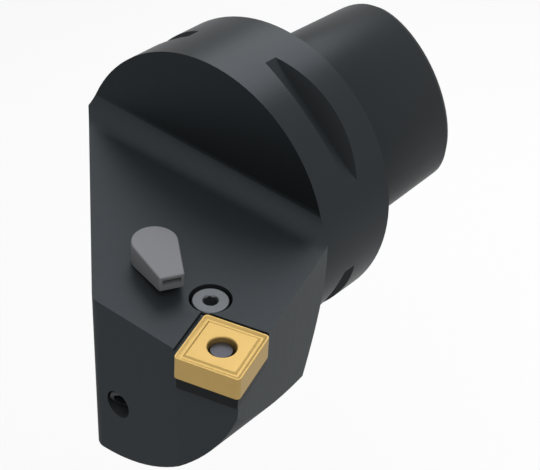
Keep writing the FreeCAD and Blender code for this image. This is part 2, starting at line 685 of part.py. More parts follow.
def build_nozzle():
    owner = new_body("coolant_nozzle", nozzle_frame)
    height = "nozzle_height - nozzle_gap"
    round_part(owner, "round_end", "Additive", "nozzle_radius * 2", height,
               placed(vector(0, 0, size("nozzle_gap"))))
    # the beak's sides are tangents from the round end to the corners of the tip
    reach = "sqrt(beak_reach * beak_reach + beak_width * beak_width / 4)"
    angle = "(atan(beak_width / beak_reach / 2) + acos(nozzle_radius / %s))" % reach
    across, up = "nozzle_radius * cos%s" % angle, "nozzle_radius * sin%s" % angle
    padded(owner, "beak", [(across, up), (across, "-1 * " + up), ("beak_reach", "-1 * beak_width / 2"),
                           ("beak_reach", "beak_width / 2")], height, lift="nozzle_gap")
    beyond = "beak_reach * 2"
    steep = "beak_rise - nozzle_gap"
    pocketed(owner, "beak_underside", [("0", "nozzle_gap"), (beyond, "nozzle_gap"),
                                       (beyond, "nozzle_gap + (%s) * 2" % steep)],
             "nozzle_radius * 3", role="XZ_Plane", both_ways=True)
    round_part(owner, "stem", "Additive", "stem_diameter", "stem_length + nozzle_gap * 2",
               placed(vector(0, 0, -size("stem_length"))))
    slot_low = "nozzle_height - jet_lip - jet_height"
    pocketed(owner, "jet_slot", [("beak_reach - jet_depth", slot_low), (beyond, slot_low),
                                 (beyond, "nozzle_height - jet_lip"),
                                 ("beak_reach - jet_depth", "nozzle_height - jet_lip")],
             "jet_width", role="XZ_Plane", both_ways=True)
    round_part(owner, "jet_bore", "Subtractive", "jet_diameter", "beak_reach",
               placed(vector(0, 0, size(slot_low) + size("jet_height / 2")), along_x))
    round_part(owner, "stem_channel", "Subtractive", "stem_bore", "stem_length + stem_bore_top",
               placed(vector(0, 0, -size("stem_length"))))
    outside = "stem_diameter / 2 + nozzle_gap"
    for name, middle, width, deep in (("seal_groove", "seal_place", "seal_wire + nozzle_gap * 2",
                                       "seal_groove_depth"),
                                      ("lock_groove", "lock_place", "lock_groove_width", "lock_groove_depth")):
        low, high = "-1 * %s - (%s) / 2" % (middle, width), "-1 * %s + (%s) / 2" % (middle, width)
        inner = "stem_diameter / 2 - %s" % deep
        ring_cut(owner, name, [(inner, low), (outside, low), (outside, high), (inner, high)])
    return owner


def build_seal():
    owner = new_body("nozzle_seal", nozzle_frame * placed(vector(0, 0, -size("seal_place"))))
    ring = owner.newObject("PartDesign::AdditiveTorus", "ring")
    ring.setExpression("Radius1", cells("stem_diameter / 2 + fit_gap - seal_gap - seal_wire / 2"))
    ring.setExpression("Radius2", cells("seal_wire / 2"))
    return owner


pieces = [build_holder(), build_insert(), build_shim(), build_sleeve(), build_lever(), build_lever_screw(),
          build_lock_screw(), build_plug(), build_nozzle(), build_seal()]
doc.recompute()

for item in doc.Objects:
    if "Invalid" in item.State or "Error" in item.State:
        raise RuntimeError("%s did not rebuild: %s" % (item.Name, item.State))
for piece in pieces:
    if piece.Shape.isNull() or not piece.Shape.isValid():
        raise RuntimeError("%s has no valid shape" % piece.Label)

os.makedirs("parts", exist_ok=True)
for piece in pieces:
    piece.Shape.exportStep("parts/%s.step" % piece.Label)
    print(piece.Label, "solids", len(piece.Shape.Solids), "volume", round(piece.Shape.Volume, 1))
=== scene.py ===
import json
import math

import bmesh
import bpy
from mathutils import Matrix, Vector


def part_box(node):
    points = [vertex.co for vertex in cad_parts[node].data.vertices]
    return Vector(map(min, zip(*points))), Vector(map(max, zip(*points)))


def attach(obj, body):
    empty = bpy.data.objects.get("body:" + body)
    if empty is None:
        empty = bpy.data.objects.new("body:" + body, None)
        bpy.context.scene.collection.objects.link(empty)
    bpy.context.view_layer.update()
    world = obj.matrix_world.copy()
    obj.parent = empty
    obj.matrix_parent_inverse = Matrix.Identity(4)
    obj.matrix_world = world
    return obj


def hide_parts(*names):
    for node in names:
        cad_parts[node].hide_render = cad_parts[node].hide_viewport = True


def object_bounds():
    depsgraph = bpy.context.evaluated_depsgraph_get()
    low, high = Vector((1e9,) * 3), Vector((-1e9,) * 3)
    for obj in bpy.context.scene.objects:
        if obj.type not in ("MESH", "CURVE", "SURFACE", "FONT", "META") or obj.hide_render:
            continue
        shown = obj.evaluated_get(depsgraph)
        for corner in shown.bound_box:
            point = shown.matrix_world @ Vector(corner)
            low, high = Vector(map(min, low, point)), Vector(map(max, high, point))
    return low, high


# Turning tool holder: lathe tool with a three-lobed shank and a lever-held square insert.
# Everything is in metres in the part's own frame: +X towards the cutting head, +Z up.

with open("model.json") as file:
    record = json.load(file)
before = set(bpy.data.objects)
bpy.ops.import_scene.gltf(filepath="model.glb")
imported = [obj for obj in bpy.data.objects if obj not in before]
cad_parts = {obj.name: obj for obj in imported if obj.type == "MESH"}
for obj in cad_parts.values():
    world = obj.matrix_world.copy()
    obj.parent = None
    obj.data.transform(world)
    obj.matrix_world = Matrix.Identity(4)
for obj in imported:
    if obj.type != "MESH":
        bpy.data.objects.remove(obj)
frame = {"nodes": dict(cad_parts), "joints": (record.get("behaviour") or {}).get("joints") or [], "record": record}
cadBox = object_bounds()
nodes = frame["nodes"]
joints = {joint["name"]: joint for joint in frame["joints"]}
mm = 0.001
print("frame loaded:", len(nodes), "nodes")


# small helpers

def hexToLinear(code):   # sRGB hex to the linear colour that shaders want
    parts = [int(code[i:i + 2], 16) / 255 for i in (1, 3, 5)]
    return [c / 12.92 if c <= 0.04045 else ((c + 0.055) / 1.055) ** 2.4 for c in parts] + [1.0]


def addNode(tree, kind, settings=None, inputs=None):   # a value that is a socket gets linked
    node = tree.nodes.new(kind)
    for key, value in (settings or {}).items():
        setattr(node, key, value)
    for key, value in (inputs or {}).items():
        if isinstance(value, bpy.types.NodeSocket):
            tree.links.new(value, node.inputs[key])
        else:
            node.inputs[key].default_value = value
    return node


def newMaterial(name):
    material = bpy.data.materials.new(name)
    material.use_nodes = True
    tree = material.node_tree
    tree.nodes.clear()
    shader = addNode(tree, "ShaderNodeBsdfPrincipled")
    addNode(tree, "ShaderNodeOutputMaterial", None, {"Surface": shader.outputs[0]})
    return material, tree, shader


def dress(piece, material):
    piece.data.materials.clear()
    piece.data.materials.append(material)


# small modelling helpers: every one leaves object mode with only its piece selected

def onlySelect(piece):
    bpy.ops.object.select_all(action="DESELECT")
    piece.select_set(True)
    bpy.context.view_layer.objects.active = piece


def openMesh(piece, kind="FACE"):   # edit mode with nothing picked
    onlySelect(piece)
    bpy.ops.object.mode_set(mode="EDIT")
    bpy.ops.mesh.select_mode(type=kind)
    bpy.ops.mesh.select_all(action="DESELECT")


def closeMesh():
    bpy.ops.object.mode_set(mode="OBJECT")


facing = 0.9   # how squarely a face has to look one way to be picked by its normal


def pickFaces(piece, test):   # test gets a face's middle and normal
    mesh = bmesh.from_edit_mesh(piece.data)
    for face in mesh.faces:
        face.select_set(test(face.calc_center_median(), face.normal))
    bmesh.update_edit_mesh(piece.data)


def pickEdges(piece, test):   # test gets an edge's two ends
    mesh = bmesh.from_edit_mesh(piece.data)
    for edge in mesh.edges:
        edge.select_set(test(edge.verts[0].co, edge.verts[1].co))
    bmesh.update_edit_mesh(piece.data)


def applyModifier(piece, kind, **settings):
    onlySelect(piece)
    modifier = piece.modifiers.new(kind.lower(), kind)
    for key, value in settings.items():
        setattr(modifier, key, value)
    bpy.ops.object.modifier_apply(modifier=modifier.name)


def combine(piece, tool, operation):   # DIFFERENCE cuts the tool away, UNION joins it
    applyModifier(piece, "BOOLEAN", object=tool, operation=operation, solver="EXACT")
    bpy.data.objects.remove(tool)


def roundEdges(piece, width, segments=2, angle=30):
    applyModifier(piece, "BEVEL", width=width, segments=segments, limit_method="ANGLE",
                  angle_limit=math.radians(angle), use_clamp_overlap=True, miter_outer="MITER_ARC")


# The clamp leaves this bevel no width on the holder: its edges stay sharp, and the bevel's faces, which have
# next to no area, only change the shading. Without the clamp some corners overshoot.
def breakEdges(piece, width, spare, angle=28):   # spare finds the edges that get no bevel
    onlySelect(piece)
    bpy.ops.object.shade_smooth_by_angle(angle=math.radians(angle))
    mesh = bmesh.new()
    mesh.from_mesh(piece.data)
    weight = mesh.edges.layers.float.new("bevel_weight_edge")
    for edge in mesh.edges:
        middle = (edge.verts[0].co + edge.verts[1].co) / 2
        sharp = len(edge.link_faces) == 2 and edge.calc_face_angle() > math.radians(angle)
        edge[weight] = 1.0 if sharp and not spare(middle) else 0.0
    mesh.to_mesh(piece.data)
    mesh.free()
    applyModifier(piece, "BEVEL", width=width, segments=2, limit_method="WEIGHT", harden_normals=True,
                  use_clamp_overlap=True, miter_outer="MITER_ARC")


# what counts as lying on a turned face, running along the shank, and lying in one plane
likeness = {"radius": 0.02, "slope": 0.02, "plane": 0.01, "cosine": 0.999}


def trueNormals(piece, rounds, flatArea):   # turned faces get their axis's normals, flat ones their plane's
    mesh = piece.data
    normals = [corner.vector.copy() for corner in mesh.corner_normals]
    planes = [(face.normal.copy(), face.normal.dot(face.center))
              for face in mesh.polygons if face.area > flatArea]
    for face in mesh.polygons:
        corners = [mesh.vertices[index].co for index in face.vertices]
        for radius, middle in rounds:
            out = [Vector((0, place.y - middle, place.z)) for place in corners]
            turned = all(abs(way.length - radius) < likeness["radius"] for way in out)
            if turned and abs(face.normal.x) < likeness["slope"]:
                for loop, way in zip(face.loop_indices, out):
                    normals[loop] = way.normalized()
        for way, reach in planes:   # the slivers beside a large face lie in its plane too
            level = abs(face.center.dot(way) - reach) < likeness["plane"]
            if level and face.normal.dot(way) > likeness["cosine"]:
                for loop in face.loop_indices:
                    normals[loop] = way
    mesh.normals_split_custom_set(normals)


def turnUp(name, profile, sides=96):   # raised ring by ring as on a lathe; the profile is radius and height
    bpy.ops.object.select_all(action="DESELECT")
    radius, height = profile[0]
    bpy.ops.mesh.primitive_circle_add(vertices=sides, radius=radius, fill_type="NGON",
                                      location=(0, 0, height))
    piece = bpy.context.object
    piece.name = name
    piece.data.name = name
    bpy.ops.object.transform_apply(location=True)
    bpy.ops.object.mode_set(mode="EDIT")
    bpy.ops.mesh.select_mode(type="FACE")
    bpy.ops.mesh.select_all(action="SELECT")
    for nextRadius, nextHeight in profile[1:]:
        bpy.ops.mesh.extrude_region_move(TRANSFORM_OT_translate={"value": (0, 0, nextHeight - height)})
        grow = nextRadius / radius
        bpy.ops.transform.resize(value=(grow, grow, 1), center_override=(0, 0, nextHeight))
        radius, height = nextRadius, nextHeight
    bpy.ops.mesh.select_all(action="SELECT")
    bpy.ops.mesh.normals_make_consistent(inside=False)
    closeMesh()
    return piece


def makeBlock(low, high, name="block_tool"):   # a block between two corners
    middle = [(a + b) / 2 for a, b in zip(low, high)]
    bpy.ops.object.select_all(action="DESELECT")
    bpy.ops.mesh.primitive_cube_add(size=1, location=middle)
    block = bpy.context.object
    block.name = name
    block.data.name = name
    block.scale = [b - a for a, b in zip(low, high)]
    bpy.ops.object.transform_apply(location=True, scale=True)
    return block


def squarePlate(name, width, thickness):   # a square plate about the origin
    half, level = width / 2, thickness / 2
    return makeBlock((-half, -half, -level), (half, half, level), name)


socketFoot = {"ledge": 0.12, "drop": 0.14, "tip": 0.15}   # shares that shape the drilled foot of a socket


def hexagonTool(across, low, high):   # a hexagon bar to sink a socket with, its foot drilled to a point
    bpy.ops.object.select_all(action="DESELECT")
    bpy.ops.mesh.primitive_cylinder_add(vertices=6, radius=across / math.sqrt(3), depth=high - low,
                                        location=(0, 0, (low + high) / 2), rotation=(0, 0, math.radians(30)))
    tool = bpy.context.object
    bpy.ops.object.transform_apply(location=True, rotation=True)
    openMesh(tool)
    pickFaces(tool, lambda middle, normal: normal.z < -facing)
    drop, tip = across * socketFoot["drop"], socketFoot["tip"]
    bpy.ops.mesh.inset(thickness=across * socketFoot["ledge"], depth=0)
    bpy.ops.mesh.extrude_region_move(TRANSFORM_OT_translate={"value": (0, 0, -drop)})
    bpy.ops.transform.resize(value=(tip, tip, 1), center_override=(0, 0, low - drop))
    closeMesh()
    return tool


# a screw's V thread: the ridge's side, the groove's depth and the start of the first turn in shares of the
# pitch, and how deep the ridge's foot sinks into the core in millimetres
threadForm = {"side": 0.78, "depth": 0.66, "start": 0.6, "sink": 0.02}


def threadRidge(root, pitch, low, turns, sides=48):   # a V ridge wound round the Z axis, pointing outwards
    edge = pitch * threadForm["side"]
    bpy.ops.object.select_all(action="DESELECT")
    bpy.ops.mesh.primitive_circle_add(vertices=3, radius=edge / math.sqrt(3), fill_type="NOTHING",
                                      location=(0, 0, 0), rotation=(0, 0, math.radians(-90)))
    ridge = bpy.context.object
    bpy.ops.object.transform_apply(rotation=True)
    ridge.rotation_euler = (math.radians(90), 0, 0)
    ridge.location = (root + edge / math.sqrt(12), 0, low)
    bpy.ops.object.transform_apply(location=True, rotation=True)
    applyModifier(ridge, "SCREW", axis="Z", angle=math.tau, screw_offset=pitch, iterations=turns, steps=sides,
                  render_steps=sides, use_merge_vertices=False)
    openMesh(ridge, "EDGE")
    bpy.ops.mesh.select_non_manifold()
    bpy.ops.mesh.fill_holes(sides=3)
    bpy.ops.mesh.select_all(action="SELECT")
    bpy.ops.mesh.normals_make_consistent(inside=False)
    closeMesh()
    return ridge


def freeze(piece, place):   # moves a piece and writes its place into its mesh
    onlySelect(piece)
    piece.matrix_world = place
    bpy.ops.object.transform_apply(location=True, rotation=True, scale=True)


def settle(piece, place, lift=0):   # brings a piece made in millimetres at the origin to its place in metres
    freeze(piece, place @ Matrix.Scale(mm, 4) @ Matrix.Translation((0, 0, lift)))


def smooth(piece, angle=30):
    onlySelect(piece)
    bpy.ops.object.shade_smooth_by_angle(angle=math.radians(angle))
    applyModifier(piece, "WEIGHTED_NORMAL", keep_sharp=True)


def cleanMesh(piece, nearness, bend):   # merges corners nearer than that, and faces that bend less than that
    openMesh(piece)
    bpy.ops.mesh.select_all(action="SELECT")
    bpy.ops.mesh.remove_doubles(threshold=nearness)
    bpy.ops.mesh.dissolve_limited(angle_limit=math.radians(bend))
    bpy.ops.mesh.normals_make_consistent(inside=False)
    closeMesh()


def copyOfNode(node, name):   # a merged copy of a CAD node, to be finished here
    mesh = nodes[node].data.copy()
    mesh.name = name
    piece = bpy.data.objects.new(name, mesh)
    bpy.context.scene.collection.objects.link(piece)
    onlySelect(piece)
    bpy.ops.mesh.customdata_custom_splitnormals_clear()
    freeze(piece, Matrix.Scale(1 / mm, 4))
    cleanMesh(piece, nearness=0.002, bend=0.4)
    return piece


def finishPiece(piece, node, body, slot):   # the piece takes the node's place and rides on the body
    dress(piece, finishes[slot])
    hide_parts(node)
    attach(piece, body)
    print("made", piece.name, len(piece.data.polygons), "faces")


# Alloy steel blackened in a hot oxide bath, which makes it dark grey with a slight gloss. The oxide is thin,
# so the marks of the cutting show in it, and every way of cutting has its own tone, gloss and direction: the
# ground shank and the turned rim shine like satin, the milled faces, the profiled side and the faced wall are
# duller. Some of the tones are painted light and shade: the profiled side is paler as painted light, the ground
# shank and the faced wall are darker as painted shade, and the holes and the gripper groove are nearly black as
# painted shade. The marks are drawn coarser than real ones, so that they show.

blackOxide = {
    # ground: its darker tone is painted shade on the shank
    "ground": {"colour": "#121619", "paler": "#171b1e", "metallic": 0.6, "roughness": 0.37, "feed": 0.5 * mm,
               "along": (1, 0, 0), "depth": 0.003 * mm},
    "turned": {"colour": "#1f2326", "paler": "#25292c", "metallic": 0.55, "roughness": 0.35, "feed": 0.6 * mm,
               "along": (1, 0, 0), "depth": 0.004 * mm},
    "milled": {"colour": "#272b2e", "paler": "#2d3134", "metallic": 0.6, "roughness": 0.5, "feed": 1.1 * mm,
               "along": (0.7, 0.7, 0.2), "depth": 0.004 * mm},
    # profiled: its paler tone is painted light on the side of the head
    "profiled_painted_light": {"colour": "#3a3f42", "paler": "#404548", "metallic": 0.6, "roughness": 0.45,
                 "feed": 1.1 * mm, "along": (1, 0, 0), "depth": 0.004 * mm},
    # faced: its darker tone is painted shade on the wall
    "faced_painted_shade": {"colour": "#161a1d", "paler": "#1b1f22", "metallic": 0.85, "roughness": 0.48, "feed": 0.8 * mm,
              "along": (0, 1, 0), "depth": 0.004 * mm},
    # bored: its nearly black tone is painted shade in the holes, the bore and the gripper groove
    "bored_painted_shade": {"colour": "#0c0e10", "paler": "#111315", "metallic": 0.4, "roughness": 0.55, "feed": 0.5 * mm,
              "along": (1, 0, 0), "depth": 0.003 * mm},
    "specular": 0.2, "edgeTint": "#b4b4b4", "spread": 0.08, "streakLow": 0.25, "streakHigh": 0.75,
    "grain": 0.3 * mm, "grainDepth": 0.006 * mm, "grainStrength": 0.4, "lineStrength": 0.5,
    "cloud": 16 * mm, "stain": 2.2 * mm, "stainShare": 0.4, "marksShare": 0.5,
    "wear": 0.35, "bareEdge": "#3a3e41", "rubbedFrom": 0.52, "rubbedTo": 0.6}


def makeBlackOxide(state):
    look, cut = blackOxide, blackOxide[state]
    material, tree, shader = newMaterial("blackened_steel_" + state)
    place = addNode(tree, "ShaderNodeTexCoord").outputs["Object"]
    cloud = addNode(tree, "ShaderNodeTexNoise", None, {
        "Vector": place, "Scale": 1 / look["cloud"], "Detail": 5.0, "Roughness": 0.6})
    stain = addNode(tree, "ShaderNodeTexNoise", None, {
        "Vector": place, "Scale": 1 / look["stain"], "Detail": 3.0, "Roughness": 0.55})
    grain = addNode(tree, "ShaderNodeTexNoise", None, {
        "Vector": place, "Scale": 1 / look["grain"], "Detail": 2.0})
    # how far a point lies across the cutter's marks, and fine lines that differ from mark to mark
    across = addNode(tree, "ShaderNodeVectorMath", {"operation": "DOT_PRODUCT"}, {
        0: place, 1: Vector(cut["along"]).normalized()})
    marks = addNode(tree, "ShaderNodeTexNoise", {"noise_dimensions": "1D"}, {
        "W": across.outputs["Value"], "Scale": 1 / cut["feed"], "Detail": 3.0, "Roughness": 0.7})
    tone = addNode(tree, "ShaderNodeMix", {"data_type": "FLOAT"}, {
        0: look["stainShare"], 2: cloud.outputs["Fac"], 3: stain.outputs["Fac"]})
    tint = addNode(tree, "ShaderNodeMix", {"data_type": "RGBA"}, {
        0: tone.outputs[0], 6: hexToLinear(cut["colour"]), 7: hexToLinear(cut["paler"])})
    # edges that were rubbed show a little bare steel
    edge = addNode(tree, "ShaderNodeNewGeometry").outputs["Pointiness"]
    rubbed = addNode(tree, "ShaderNodeMapRange", None, {
        0: edge, 1: look["rubbedFrom"], 2: look["rubbedTo"], 3: 0.0, 4: look["wear"]})
    worn = addNode(tree, "ShaderNodeMix", {"data_type": "RGBA"}, {
        0: rubbed.outputs[0], 6: tint.outputs[2], 7: hexToLinear(look["bareEdge"])})
    streak = addNode(tree, "ShaderNodeMix", {"data_type": "FLOAT"}, {
        0: look["marksShare"], 2: tone.outputs[0], 3: marks.outputs["Fac"]})
    low, high = cut["roughness"] - look["spread"] / 2, cut["roughness"] + look["spread"] / 2
    rough = addNode(tree, "ShaderNodeMapRange", None, {
        0: streak.outputs[0], 1: look["streakLow"], 2: look["streakHigh"], 3: low, 4: high})
    lines = addNode(tree, "ShaderNodeBump", None, {
        "Strength": look["lineStrength"], "Distance": cut["depth"], "Height": marks.outputs["Fac"]})
    bump = addNode(tree, "ShaderNodeBump", None, {
        "Strength": look["grainStrength"], "Distance": look["grainDepth"], "Height": grain.outputs["Fac"],
        "Normal": lines.outputs[0]})
    tree.links.new(worn.outputs[2], shader.inputs["Base Color"])
    tree.links.new(rough.outputs[0], shader.inputs["Roughness"])
    tree.links.new(bump.outputs[0], shader.inputs["Normal"])
    shader.inputs["Metallic"].default_value = cut["metallic"]
    shader.inputs["Specular IOR Level"].default_value = look["specular"]
    shader.inputs["Specular Tint"].default_value = hexToLinear(look["edgeTint"])
    return material


# Cemented carbide with a gold nitride coating. The thin coating follows the pressed surface below it, so it
# looks like matt gold with a soft, even sheen.

goldCoating = {
    "colour": "#a58a51", "paler": "#ae9258", "metallic": 0.8, "roughness": 0.5,
    "grain": 0.12 * mm, "grainDepth": 0.004 * mm, "grainStrength": 0.5, "cloud": 3 * mm}


def makeGoldCoating():
    look = goldCoating
    material, tree, shader = newMaterial("gold_coated_carbide")
    place = addNode(tree, "ShaderNodeTexCoord").outputs["Object"]
    cloud = addNode(tree, "ShaderNodeTexNoise", None, {
        "Vector": place, "Scale": 1 / look["cloud"], "Detail": 3.0})
    grain = addNode(tree, "ShaderNodeTexNoise", None, {
        "Vector": place, "Scale": 1 / look["grain"], "Detail": 2.0})
    tint = addNode(tree, "ShaderNodeMix", {"data_type": "RGBA"}, {
        0: cloud.outputs["Fac"], 6: hexToLinear(look["colour"]), 7: hexToLinear(look["paler"])})
    bump = addNode(tree, "ShaderNodeBump", None, {
        "Strength": look["grainStrength"], "Distance": look["grainDepth"], "Height": grain.outputs["Fac"]})
    tree.links.new(tint.outputs[2], shader.inputs["Base Color"])
    tree.links.new(bump.outputs[0], shader.inputs["Normal"])
    shader.inputs["Metallic"].default_value = look["metallic"]
    shader.inputs["Roughness"].default_value = look["roughness"]
    return material


# Plain metals and rubber, which differ in tone, gloss and grain only.

plainMetals = {
    # hard metal, ground and uncoated; its nearly black colour and faint gleam are painted shade under the insert
    "bare_carbide": {"colour": "#101214", "metallic": 0.3, "roughness": 0.5, "specular": 0.1,
                     "grain": 0.1 * mm},
    # spring steel, rolled and left bright: a soft mirror
    "spring_steel": {"colour": "#5e5f61", "metallic": 1.0, "roughness": 0.35, "specular": 0.5,
                     "grain": 0.2 * mm},
    # hardened steel, blued by the heat: dark with a bluish cast
    "hardened_steel": {"colour": "#3f4046", "metallic": 0.8, "roughness": 0.45, "specular": 0.5,
                       "grain": 0.15 * mm},
    # screw steel, turned and left grey: satin
    "screw_steel": {"colour": "#4f5255", "metallic": 0.8, "roughness": 0.45, "specular": 0.5,
                    "grain": 0.2 * mm},
    # the same steel blackened, and its nearly black colour is painted shade in the holes where it sits
    "dark_screw_steel": {"colour": "#16181a", "metallic": 0.4, "roughness": 0.45, "specular": 0.5,
                         "grain": 0.2 * mm},
    # steel powder, pressed and sintered: pale grey and matt, because its pores scatter the light
    "sintered_steel": {"colour": "#67696c", "metallic": 0.35, "roughness": 0.6, "specular": 0.5,
                       "grain": 0.12 * mm},
    # nitrile rubber, moulded: black and matt
    "black_rubber": {"colour": "#1b1c1d", "metallic": 0.0, "roughness": 0.7, "specular": 0.5,
                     "grain": 0.2 * mm}}
plainGrain = {"strength": 0.4, "depth": 0.005 * mm}


def makePlainMetal(name):
    look = plainMetals[name]
    material, tree, shader = newMaterial(name)
    place = addNode(tree, "ShaderNodeTexCoord").outputs["Object"]
    grain = addNode(tree, "ShaderNodeTexNoise", None, {
        "Vector": place, "Scale": 1 / look["grain"], "Detail": 2.0})
    bump = addNode(tree, "ShaderNodeBump", None, {
        "Strength": plainGrain["strength"], "Distance": plainGrain["depth"], "Height": grain.outputs["Fac"]})
    tree.links.new(bump.outputs[0], shader.inputs["Normal"])
    shader.inputs["Base Color"].default_value = hexToLinear(look["colour"])
    shader.inputs["Metallic"].default_value = look["metallic"]
    shader.inputs["Roughness"].default_value = look["roughness"]
    shader.inputs["Specular IOR Level"].default_value = look["specular"]
    return material


oxideStates = ("milled", "turned", "ground", "profiled_painted_light", "faced_painted_shade", "bored_painted_shade")
oxides = [makeBlackOxide(state) for state in oxideStates]
finishes = {"blackened_steel": oxides[0], "gold_coated_carbide": makeGoldCoating()}
for name in plainMetals:
    finishes[name] = makePlainMetal(name)
print("materials ready:", len(finishes))

# the CAD nodes are dressed too, because the seal is shown as it was packed
for part in frame["record"]["subparts"]:
    if part["material_slot"] in finishes:
        dress(nodes[part["node"]], finishes[part["material_slot"]])


# Where the tilted things stand: the flat's normal, the lever's pivot and the nozzle's axis come from the
# joints. The sizes of pieces are in millimetres, and settle() brings a finished piece to metres.

seatSizes = {
    "insertThickness": 4.76, "shimThickness": 2.8, "kneeDrop": 5.8, "leverTurn": 10.7,
    "screwDistance": 13.5, "flatDrop": 0.75, "screwSink": 0.4, "nozzleTurn": -0.3, "squareTurn": -45}
up = Vector(joints["insert_lift"]["axis"]).normalized()


def standing(place, along):   # a frame with its Z axis on the flat and its X axis as near to along as can be
    side = up.cross(along).normalized()
    rows = Matrix((side.cross(up), side, up)).transposed()
    return Matrix.Translation(place) @ rows.to_4x4()


def turnedAboutUp(matrix, degrees):
    return matrix @ Matrix.Rotation(math.radians(degrees), 4, "Z")


kneeHeight = seatSizes["insertThickness"] + seatSizes["shimThickness"] + seatSizes["kneeDrop"]
leverAlong = Vector(joints["lever_tilt"]["axis"]).cross(up)
leverPlace = standing(Vector(joints["lever_tilt"]["pos_m"]) + up * kneeHeight * mm, leverAlong)
seatPlace = turnedAboutUp(leverPlace, seatSizes["leverTurn"])
squarePlace = turnedAboutUp(seatPlace, seatSizes["squareTurn"])
screwPlace = leverPlace @ Matrix.Translation(
    Vector((-seatSizes["screwDistance"], 0, -seatSizes["flatDrop"] - seatSizes["screwSink"])) * mm)
nozzlePlace = turnedAboutUp(standing(Vector(joints["nozzle_swivel"]["pos_m"]), seatPlace.col[0].xyz),
                            seatSizes["nozzleTurn"])

# The lock screw enters square to the nozzle's stem, and the channel runs from the chamber to its plug.
waySizes = {"lockPlace": 9.0, "lockWay": (0.702132, -0.71104, 0.037838), "channelStart": 15.75}
lockPlace = nozzlePlace @ Vector((0, 0, -waySizes["lockPlace"] * mm))
lockWay = Vector(waySizes["lockWay"])
plugLow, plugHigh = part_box("channel_plug")
plugPlace = (plugLow + plugHigh) / 2
plugWay = (plugPlace - Vector((waySizes["channelStart"] * mm, 0, 0))).normalized()


# insert: pressed and sintered, ground on its edges, with a chip former pressed into both faces

insertSizes = {
    "width": 12.7, "thickness": seatSizes["insertThickness"], "corner": 0.8, "cornerSteps": 6,
    "land": 0.3, "formerSlope": 0.5, "formerDepth": 0.28, "formerFloor": 0.4,
    "rise": 0.4, "riseHeight": 0.2, "cornerMerge": 0.12, "middleReach": 1.0,
    "hole": 5.16, "mouth": 0.45, "mouthSteps": 5, "holeSides": 72, "edgeHone": 0.05}


def pressFormer(piece, side):   # land, front slope, floor and rise of the chip former on one face
    sizes = insertSizes
    openMesh(piece)
    pickFaces(piece, lambda middle, normal: normal.z * side > facing)
    bpy.ops.mesh.inset(thickness=sizes["land"])
    bpy.ops.mesh.inset(thickness=sizes["formerSlope"], depth=-sizes["formerDepth"])
    bpy.ops.mesh.remove_doubles(threshold=sizes["cornerMerge"])
    pickFaces(piece, lambda middle, normal: normal.z * side > facing and middle.z * side > 0
              and abs(middle.x) + abs(middle.y) < sizes["middleReach"])
    bpy.ops.mesh.inset(thickness=sizes["formerFloor"])
    bpy.ops.mesh.inset(thickness=sizes["rise"], depth=sizes["riseHeight"])
    closeMesh()


def makeInsert():
    sizes = insertSizes
    half = sizes["thickness"] / 2
    piece = squarePlate("indexable_insert", sizes["width"], sizes["thickness"])
    openMesh(piece, "EDGE")
    pickEdges(piece, lambda a, b: abs(a.z - b.z) > half)
    bpy.ops.mesh.bevel(offset=sizes["corner"], segments=sizes["cornerSteps"], affect="EDGES")
    closeMesh()
    for side in (1, -1):
        pressFormer(piece, side)
    radius, mouth, steps = sizes["hole"] / 2, sizes["mouth"], sizes["mouthSteps"]
    turns = [math.radians(step * 90 / steps) for step in range(steps + 1)]
    upper = [(radius + mouth * (1 - math.cos(turn)), half - mouth * (1 - math.sin(turn))) for turn in turns]
    upper.append((radius + mouth * 1.2, half + mouth))   # past the face, so that the cut is clean
    lower = [(out, -height) for out, height in reversed(upper)]
    combine(piece, turnUp("hole_tool", lower + upper, sizes["holeSides"]), "DIFFERENCE")
    roundEdges(piece, sizes["edgeHone"], segments=1, angle=40)
    settle(piece, squarePlace, -half)
    smooth(piece, angle=24)
    finishPiece(piece, "insert", "insert", "gold_coated_carbide")


# shim: plain ground hard metal, square, with a hole for the sleeve

shimSizes = {"width": 12.0, "thickness": seatSizes["shimThickness"], "hole": 6.48, "holeSides": 72,
             "edge": 0.25, "mouth": 0.4}


def makeShim():
    sizes = shimSizes
    half = sizes["thickness"] / 2
    piece = squarePlate("hard_metal_shim", sizes["width"], sizes["thickness"])
    roundEdges(piece, sizes["edge"], segments=3)
    radius, mouth = sizes["hole"] / 2, sizes["mouth"]
    profile = [(radius + mouth * 2, -half - mouth), (radius, -half + mouth),
               (radius, half - mouth), (radius + mouth * 2, half + mouth)]
    combine(piece, turnUp("shim_hole_tool", profile, sizes["holeSides"]), "DIFFERENCE")
    settle(piece, squarePlace, -insertSizes["thickness"] - half)
    smooth(piece)
    # the nearly black carbide is painted shade under the insert
    finishPiece(piece, "shim", "holder", "bare_carbide")


# lever screw: turned, with a hexagon socket, a threaded shank and the groove that works the lever

leverScrew = {
    "head": 6.9, "headHeight": 3.2, "edge": 0.3, "thread": 6.0, "pitch": 1.0,
    "grooveTop": 10.91, "grooveLow": 13.51, "neck": 3.6, "foot": 4.9, "footHeight": 1.7,
    "socket": 2.5, "socketDepth": 2.4, "socketMouth": 0.25, "edgeSteps": 3}
mouthCone = ((0.4, -0.5), (1.4, 0.5))   # the socket's countersink: radius and height in shares of the mouth


